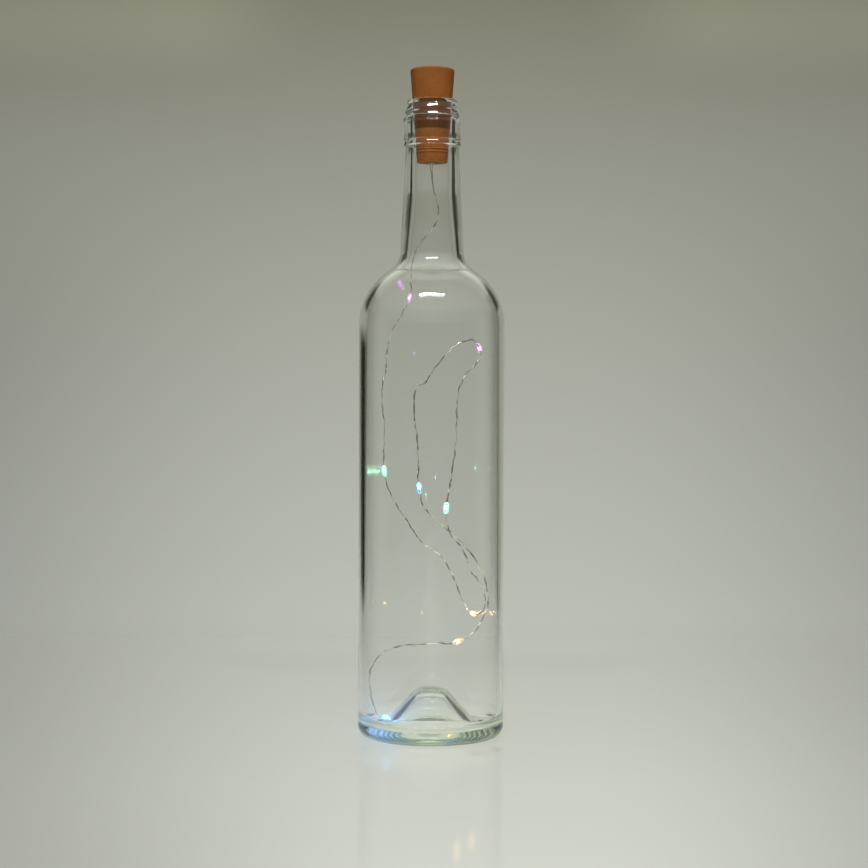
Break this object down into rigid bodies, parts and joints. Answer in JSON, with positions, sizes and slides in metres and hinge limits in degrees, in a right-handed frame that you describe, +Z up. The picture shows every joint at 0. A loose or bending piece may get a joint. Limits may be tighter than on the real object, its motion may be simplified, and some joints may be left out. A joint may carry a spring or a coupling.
{
  "type": "cork bottle light",
  "caption": "Clear glass wine bottle closed by a cork-shaped battery stopper, with a fine wire string of small coloured lights hanging loose inside the glass.",
  "frame": {"origin": "centre of the ring that the bottle stands on, at table level", "axes": "+Z up along the bottle's axis, -Y towards the picture's camera, +X to the right in it"},
  "size_m": [0.074, 0.074, 0.3382],
  "materials": {
    "clear_glass": "polished",
    "cork_plastic": "satin",
    "pale_sealant": "satin",
    "silver_wire": "satin",
    "green_board": "satin",
    "black_plastic": "satin",
    "sprung_bronze": "satin",
    "ivory_plastic": "satin",
    "black_rubber": "matte",
    "tinned_pin": "satin",
    "cell_steel": "polished",
    "clear_resin": "polished",
    "violet_chip": "satin",
    "green_chip": "satin",
    "amber_chip": "satin",
    "blue_chip": "satin"
  },
  "bodies": {
    "bottle": {"bottle": "clear_glass", "wire_1": "silver_wire", "wire_2": "silver_wire", "wire_3": "silver_wire", "wire_4": "silver_wire", "wire_5": "silver_wire", "wire_6": "silver_wire", "wire_7": "silver_wire", "wire_8": "silver_wire", "light_bead_1": "clear_resin", "light_bead_2": "clear_resin", "light_bead_3": "clear_resin", "light_bead_4": "clear_resin", "light_bead_5": "clear_resin", "light_bead_6": "clear_resin", "light_bead_7": "clear_resin", "light_bead_8": "clear_resin", "light_chip_1": "violet_chip", "light_chip_2": "green_chip", "light_chip_3": "amber_chip", "light_chip_4": "green_chip", "light_chip_5": "violet_chip", "light_chip_6": "blue_chip", "light_chip_7": "amber_chip", "light_chip_8": "blue_chip"},
    "stopper": {"stopper_shell": "cork_plastic", "lead_seal": "pale_sealant", "lead_strands": "silver_wire", "circuit_board": "green_board", "resistor": "black_plastic", "spring_leaf": "sprung_bronze", "battery_sleeve": "ivory_plastic", "bus_strip": "sprung_bronze", "cell_cup_1": "cell_steel", "cell_cup_2": "cell_steel", "cell_cup_3": "cell_steel", "cell_lid_1": "cell_steel", "cell_lid_2": "cell_steel", "cell_lid_3": "cell_steel", "cell_seal_1": "black_rubber", "cell_seal_2": "black_rubber", "cell_seal_3": "black_rubber"},
    "cap_seal": {"cap_gasket": "black_rubber"},
    "battery_cap": {"battery_cap": "cork_plastic", "contact_carrier": "ivory_plastic", "centre_contact": "sprung_bronze", "ring_contact": "sprung_bronze", "switch_body": "black_plastic", "switch_pins": "tinned_pin"},
    "switch_knob": {"switch_slider": "black_plastic"}
  },
  "joints": [
    {"name": "stopper_pull", "type": "slide", "parent": "bottle", "child": "stopper", "axis": [0, 0, 1], "range_m": [0, 0.05]},
    {"name": "cap_rise", "type": "slide", "parent": "stopper", "child": "cap_seal", "axis": [0, 0, 1], "range_m": [0, 0.0045]},
    {"name": "cap_turn", "type": "hinge", "parent": "cap_seal", "child": "battery_cap", "pos_m": [0, 0, 0.335], "axis": [0, 0, 1], "range_deg": [0, 540]},
    {"name": "switch_slide", "type": "slide", "parent": "battery_cap", "child": "switch_knob", "axis": [-1, 0, 0], "range_m": [0, 0.002]}
  ],
  "couplings": [
    {"joint": "cap_rise", "follows": "cap_turn", "m_per_rad": 0.00047746}
  ]
}
